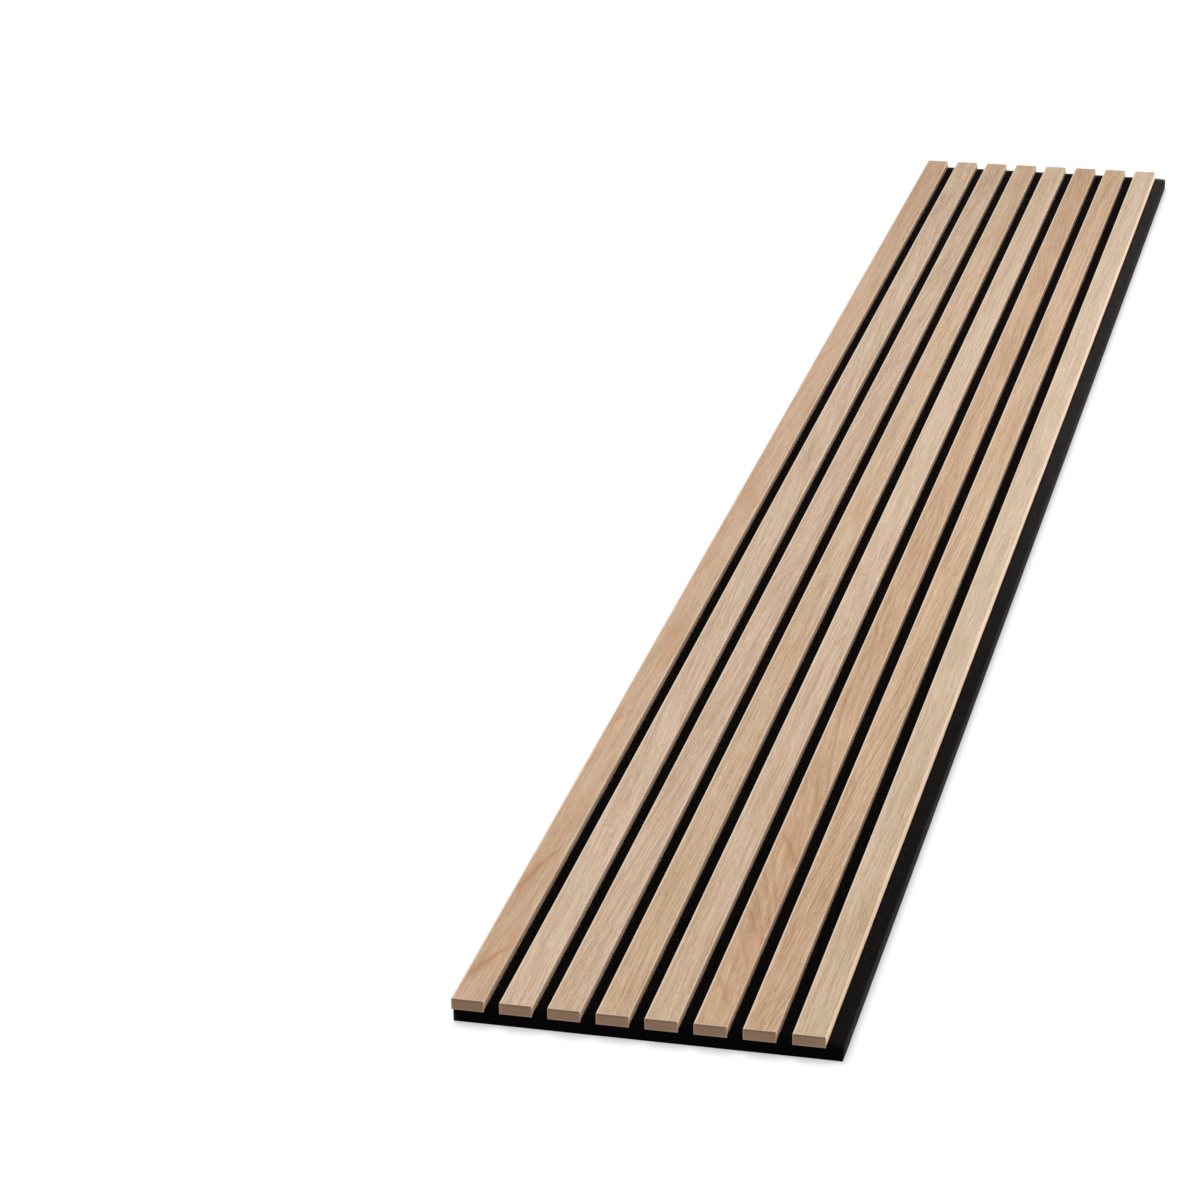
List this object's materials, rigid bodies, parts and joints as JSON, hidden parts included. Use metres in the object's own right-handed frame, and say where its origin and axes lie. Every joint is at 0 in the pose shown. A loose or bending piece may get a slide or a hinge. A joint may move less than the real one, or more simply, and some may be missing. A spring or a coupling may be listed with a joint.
{
  "type": "acoustic slat wall panel",
  "caption": "Long flat wall panel: parallel oak-veneered slats with square edges, evenly spaced on a black felt backing that stands out as a lip along one side.",
  "frame": {"origin": "middle of the panel's length and width, on the back face of the felt", "axes": "+Z out of the wall, from the felt's back to the slats' faces; +Y along the slats; +X across them, towards the side where the felt stands out as a lip"},
  "size_m": [0.321, 2.4, 0.021],
  "materials": {
    "felt": "matte needled polyester felt",
    "fibreboard": "raw sawn fibreboard",
    "oak_veneer": "matte lacquered oak",
    "staple_wire": "galvanised wire"
  },
  "bodies": {
    "root": {"felt_backing": "felt", "slat_core_1": "fibreboard", "slat_core_2": "fibreboard", "slat_core_3": "fibreboard", "slat_core_4": "fibreboard", "slat_core_5": "fibreboard", "slat_core_6": "fibreboard", "slat_core_7": "fibreboard", "slat_core_8": "fibreboard", "slat_veneer_1": "oak_veneer", "slat_veneer_2": "oak_veneer", "slat_veneer_3": "oak_veneer", "slat_veneer_4": "oak_veneer", "slat_veneer_5": "oak_veneer", "slat_veneer_6": "oak_veneer", "slat_veneer_7": "oak_veneer", "slat_veneer_8": "oak_veneer", "back_staples": "staple_wire"}
  },
  "joints": []
}
